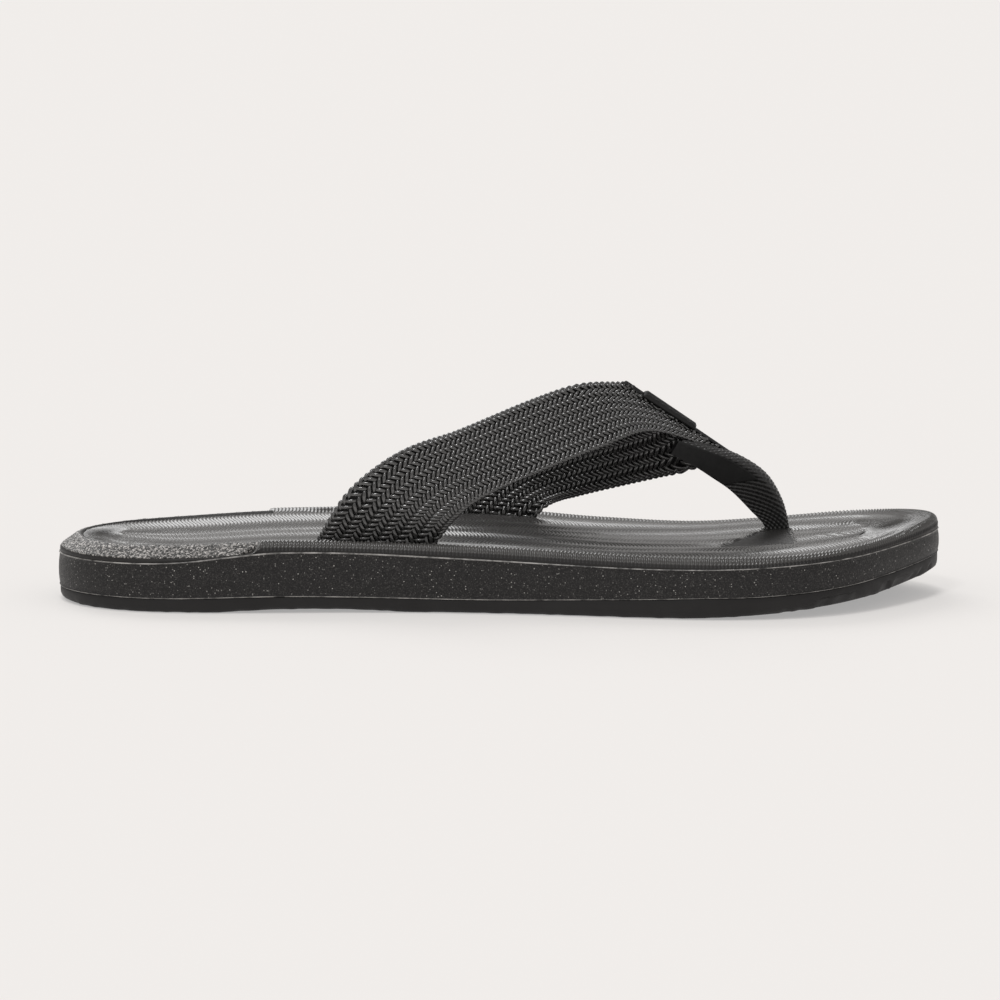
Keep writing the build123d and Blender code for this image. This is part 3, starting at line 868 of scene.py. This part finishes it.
def tube(path, normals, radii, sides, flatten=1.0):
    """Rings of points round a path, with the ring's height along the normal."""
    ahead = unit(np.gradient(path, axis=0))
    side = unit(np.cross(ahead, normals))
    up = np.cross(side, ahead)
    angles = 2 * math.pi * np.arange(sides) / sides
    rings = (
        path[:, None, :]
        + side[:, None, :] * np.cos(angles)[None, :, None] * radii[:, None, None]
        + up[:, None, :] * (np.sin(angles) * flatten)[None, :, None] * radii[:, None, None]
    )
    return rings.reshape(-1, 3)


def tube_faces(rings, sides, start):
    faces = grid_faces(rings, sides, start, wrap=True)
    faces.append([start + k for k in range(sides)][::-1])
    faces.append([start + (rings - 1) * sides + k for k in range(sides)])
    return faces


def braid(name, band, node):
    """Flat two-over-two braid: yarns that zigzag between the band's edges, woven through each other."""
    spread = STRAP_WIDTH - 2 * YARN_RADIUS
    pitch = BRAID_PERIOD / YARNS
    column = 4 * STRAP_WIDTH / YARNS
    sides = 7
    step = 0.34
    points, faces, total = [], [], 0
    for yarn in range(YARNS):
        a = np.arange(-30, band.length + 30, step)
        turn = 2 * math.pi * (a + yarn * pitch) / BRAID_PERIOD
        b = spread / 2 * (2 / math.pi) * np.arcsin(0.999 * np.sin(turn)) * 1.03
        rising = np.cos(turn) > 0
        weave = np.sin(2 * math.pi * b / column)
        weave = np.tanh(1.3 * weave) / math.tanh(1.3)
        height = np.where(rising, 1, -1) * weave
        edge = ease((spread / 2 - np.abs(b)) / 1.2)
        height = height * edge * 0.95 * YARN_RADIUS
        at, share = band.spot(a, b)
        valid = (at > 0.3) & (at < band.length - 0.15)
        runs = np.split(np.arange(len(a)), np.where(np.diff(valid.astype(int)) != 0)[0] + 1)
        for run in runs:
            if not valid[run[0]] or len(run) < 4:
                continue
            path = band.point(at[run], share[run], height[run])
            outer = band.point(at[run], share[run], height[run] + 1.0)
            square_width = band.width * np.sqrt(1 - band.cosine**2)
            local = np.interp(at[run], band.along, square_width) / STRAP_WIDTH
            radii = YARN_RADIUS * (0.45 + 0.55 * np.clip(local, 0.6, 1.1))
            points.append(tube(path, outer - path, radii, sides, 0.92))
            faces += tube_faces(len(run), sides, total)
            total += len(run) * sides
    piece = new_piece(name, np.concatenate(points), faces, materials["braid"])
    finish_piece(piece, "braid", node)


def braid_core(name, band):
    """Dark filling between the two faces of the braid, so that no light shows through it."""
    at = np.linspace(0.3, band.length - 0.1, 150)
    shares = np.linspace(-0.93, 0.93, 9)
    rows = []
    for height in (0.12, -0.12):
        row = [band.point(at, np.full(len(at), share), np.full(len(at), height)) for share in shares]
        rows += row if height > 0 else row[::-1]
    piece = new_piece(name, np.concatenate(rows), bar_faces(len(rows), len(at)), materials["lining"])
    finish_piece(piece, "lining")


lateral_band = Band("lateral", lateral_slot, -1.0)
medial_band = Band("medial", medial_slot, 1.0)


# Ridge: tape and label folded over the line where the two strap halves meet
ridge_start, ridge_end = place(ridge_back), place(ridge_front)
ridge_length = float(np.linalg.norm(ridge_end - ridge_start))


def ridge_point(t, across, lift):
    """Point at a share along the ridge and a distance across it (lateral side negative), lifted out."""
    ridge = ridge_start + (ridge_end - ridge_start) * t[..., None]
    share = 2 * t - 1
    along = unit(ridge_end - ridge_start)
    probe, surface = 5.0, np.full(t.shape, STRAP_THICKNESS / 2)
    sides = []
    for band, sign in ((lateral_band, -1), (medial_band, 1)):
        flank = band.point(np.full(t.shape, band.length - probe), share, surface)
        crest = band.point(np.full(t.shape, band.length - 0.2), share, surface)
        out = flank - crest
        out = out - np.sum(out * along, axis=-1, keepdims=True) * along
        out = unit(out)
        normal = unit(np.cross(out, along) * sign)
        normal = np.where(normal[..., 2:3] < 0, -normal, normal)
        sides.append((normal, out * np.clip(across * sign, 0, None)[..., None]))
    (lateral_normal, lateral_step), (medial_normal, medial_step) = sides
    blend = (0.5 + 0.5 * np.tanh(across / 1.1))[..., None]
    normal = unit(lateral_normal * (1 - blend) + medial_normal * blend)
    soft = 0.5 * np.exp(-((across / 1.3) ** 2))[..., None]
    flat = ridge + lateral_step + medial_step
    return flat + normal * (np.asarray(lift)[..., None] - soft)


def ridge_strip(name, ends, heights, widths, edge_round, slot_name, node):
    """Closed slab over the ridge, between two distances along it and two heights over the straps."""
    low, high = heights
    lateral, medial = widths
    along = np.linspace(*ends, 60) / ridge_length
    across = np.linspace(-lateral, medial, 33)
    t, w = np.meshgrid(along, across, indexing="ij")
    margin = np.minimum(w + lateral, medial - w)
    tips = np.minimum(t - along[0], along[-1] - t) * ridge_length
    edge = np.minimum(ease(margin / edge_round), ease(tips / edge_round))
    top = ridge_point(t, w, low + (high - low) * (0.55 + 0.45 * edge))
    bottom = ridge_point(t, w, np.full(t.shape, low))
    points, faces = slab(top, bottom)
    piece = new_piece(name, points, [face[::-1] for face in faces], materials[slot_name])
    modifier = piece.modifiers.new("edges", "BEVEL")
    modifier.width = 0.00012
    modifier.segments = 2
    modifier.limit_method = "ANGLE"
    modifier.angle_limit = math.radians(50)
    finish_piece(piece, slot_name, node)


def make_stitches(start, end, lateral, medial, lift):
    """Rows of short thread bars along the label's edges."""
    points, faces, total = [], [], 0
    pitch, bar, radius, sides = 2.6, 1.9, 0.22, 8
    count = int((end - start) / pitch)
    for across in (-lateral, medial):
        for i in range(count):
            middle = start + (i + 0.5) * (end - start) / count
            s = np.linspace(-1, 1, 9)
            t = (middle + s * bar / 2) / ridge_length
            sunk = 0.34 * (1 - np.sqrt(np.clip(1 - s**4, 0, 1)))
            w = np.full(t.shape, across)
            path = ridge_point(t, w, lift - sunk)
            outer = ridge_point(t, w, lift - sunk + 1)
            points.append(tube(path, outer - path, np.full(len(t), radius), sides))
            faces += tube_faces(len(t), sides, total)
            total += len(t) * sides
    piece = new_piece("label_stitching", np.concatenate(points), faces, materials["thread"])
    finish_piece(piece, "thread", "label_stitches")


# Thong: front fold and back edge of the folded webbing and its width, from under the ridge to the footbed
thong_stations = [
    ((205.0, 11.0, 52.4), (201.5, 11.0, 46.6), 9.0),
    ((214.5, 12.2, 49.2), (209.0, 12.4, 42.6), 9.4),
    ((224.8, 14.0, 45.2), (215.0, 14.0, 38.6), 9.4),
    ((233.4, 15.4, 39.2), (221.6, 15.4, 33.8), 8.8),
    ((238.7, 16.7, 30.6), (228.2, 16.7, 27.0), 7.6),
    ((241.0, 17.5, 22.0), (233.0, 17.5, 21.4), 6.8),
    ((241.0, 17.5, 16.0), (233.2, 17.5, 16.0), 6.6),
]


def thong_surface(along, round_share, inset):
    """Point on the folded webbing: round_share runs from its lateral back edge over the fold to the other."""
    folds = np.array([place(fold) for fold, back, width in thong_stations])
    backs = np.array([place(back) for fold, back, width in thong_stations])
    widths = np.array([width for fold, back, width in thong_stations])
    run = np.concatenate([[0], np.cumsum(np.linalg.norm(np.diff(folds, axis=0), axis=1))])
    at = along * run[-1]
    fold, back, width = smooth(run, folds, at), smooth(run, backs, at), smooth(run, widths, at)
    depth = np.linalg.norm(back - fold, axis=-1) - inset
    down = unit(back - fold)
    half = width / 2 - inset
    nose = np.minimum(half, 2.6)
    total = 2 * depth + 2 * half
    walk = (round_share * 2 - 1) * total / 2
    side = np.sign(walk)
    walk = np.abs(walk)
    turn = np.clip(walk / half, 0, 1)
    across = half * np.sin(turn * math.pi / 2)
    drop = nose * (1 - np.cos(turn * math.pi / 2)) + np.clip(walk - half, 0, None)
    drop = np.minimum(drop, depth)
    y = np.zeros(fold.shape)
    y[..., 1] = side * across
    return fold + y + down * (drop + inset)[..., None]


def make_thong():
    """Webbing folded lengthwise, with its plain weave as checkered domes."""
    rows, columns = ((360, 130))
    along, around = np.meshgrid(np.linspace(0.02, 1, rows), np.linspace(0, 1, columns), indexing="ij")
    warp, weft, relief_height = 0.85, 1.25, 0.20
    full_length, full_girth, thickness = 62.0, 27.0, 1.5
    outer = thong_surface(along, around, 0.0)
    lengths = along * full_length
    girth = (around - 0.5) * full_girth
    cell_a, cell_b = np.floor(lengths / weft), np.floor(girth / warp)
    checker = np.where((cell_a + cell_b) % 2 > 0.5, 1.0, -1.0)
    dome = np.abs(np.sin(math.pi * lengths / weft)) ** 0.6 * np.abs(np.sin(math.pi * girth / warp)) ** 0.6
    relief = relief_height * checker * dome
    inner = thong_surface(along, around, thickness)
    normal = unit(outer - inner)
    outer = outer + normal * relief[..., None]
    piece = new_piece("thong_folded_webbing", *slab(outer, inner), materials["webbing"])
    finish_piece(piece, "webbing", "thong_webbing")


def make_thong_flank_sheet():
    """Smooth dark sheet on both flanks of the upper thong, under its folded edge, darker than the webbing and
    without its weave.
    """
    rows, columns = 60, 24
    points, faces, total = [], [], 0
    flank = 0.34            # share of the girth that each flank's dark sheet covers
    for low, high in ((0.0, flank), (0.66, 1.0)):
        share, around = np.meshgrid(np.linspace(0, 1, rows), np.linspace(low, high, columns), indexing="ij")
        middle = np.minimum(around, 1 - around) / flank
        along = share * (0.47 + 0.10 * middle)
        outer, inner = thong_surface(along, around, -0.30), thong_surface(along, around, 0.1)
        more, faces_more = slab(outer, inner, total)
        points.append(more)
        faces += faces_more
        total += len(more)
    piece = new_piece("thong_flank_dark_sheet", np.concatenate(points), faces, materials["lining"])
    finish_piece(piece, "lining", "thong_lining")


make_midsole()
make_outsole()
make_footbed()
make_collar()
braid("strap_lateral_braid", lateral_band, "strap_lateral")
braid("strap_medial_braid", medial_band, "strap_medial")
braid_core("strap_lateral_core", lateral_band)
braid_core("strap_medial_core", medial_band)
make_thong()
make_thong_flank_sheet()
tape_ends = (0.2, ridge_length + 0.9)
ridge_strip("centre_tape_strip", tape_ends, (0.1, 0.45), (1.6, 4.6), 0.5, "lining", "centre_tape")
ridge_strip("label_tab", (7.6, 28.4), (0.45, 1.75), (2.2, 9.0), 0.8, "label", "label_patch")
make_stitches(8.5, 27.5, 1.1, 7.9, 1.75)
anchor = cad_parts["toe_anchor"]
anchor.data.materials.clear()
anchor.data.materials.append(materials["toe_anchor"])


# Floor, light and camera
def make_floor():
    """Wide plain sheet, lit a little by itself so that it stays even to the picture's edges."""
    half = 12.0
    mesh = bpy.data.meshes.new("floor")
    corners = [(-half, -half, 0), (half, -half, 0), (half, half, 0), (-half, half, 0)]
    mesh.from_pydata(corners, [], [(0, 1, 2, 3)])
    floor = new_object("floor", mesh)
    n = Nodes("floor_paper")
    n.set(Base_Color=(0.50, 0.482, 0.466, 1), Roughness=0.9, Specular_IOR_Level=0.0)
    n.set(Emission_Color=(0.358, 0.354, 0.352, 1), Emission_Strength=1.0)
    mesh.materials.append(n.material)


def make_light():
    """Soft sky and three wide suns: energy, angular size, tilt from the zenith and turn, in degrees."""
    world = bpy.data.worlds.new("studio")
    bpy.context.scene.world = world
    world.use_nodes = True
    background = world.node_tree.nodes["Background"]
    background.inputs["Color"].default_value = (1.0, 0.975, 0.955, 1)
    background.inputs["Strength"].default_value = 0.50
    for name, energy, angle, tilt, turn in (
        ("top", 0.80, 12, 8, -20), ("front", 0.42, 11, 42, -25), ("back", 0.95, 36, -52, 20)
    ):
        lamp = bpy.data.lights.new(name, "SUN")
        lamp.energy = energy
        lamp.angle = math.radians(angle)
        new_object(name, lamp).rotation_euler = (math.radians(tilt), 0, math.radians(turn))


def make_camera():
    """Long lens, a little above the horizon, square on to the lateral side."""
    distance, elevation, view_width = 1.8, math.radians(7.6), 0.3295
    target = Vector((0.0, 0.0, 0.0322))
    back = Vector((0.0, -math.cos(elevation), math.sin(elevation)))
    camera = new_object("camera", bpy.data.cameras.new("camera"))
    camera.data.sensor_width = 36.0
    camera.data.lens = camera.data.sensor_width * distance / view_width
    camera.location = target + back * distance
    camera.rotation_mode = "QUATERNION"
    camera.rotation_quaternion = (-back).to_track_quat("-Z", "Y")
    bpy.context.scene.camera = camera


make_floor()
make_light()
make_camera()
bpy.context.scene.view_settings.view_transform = "Standard"
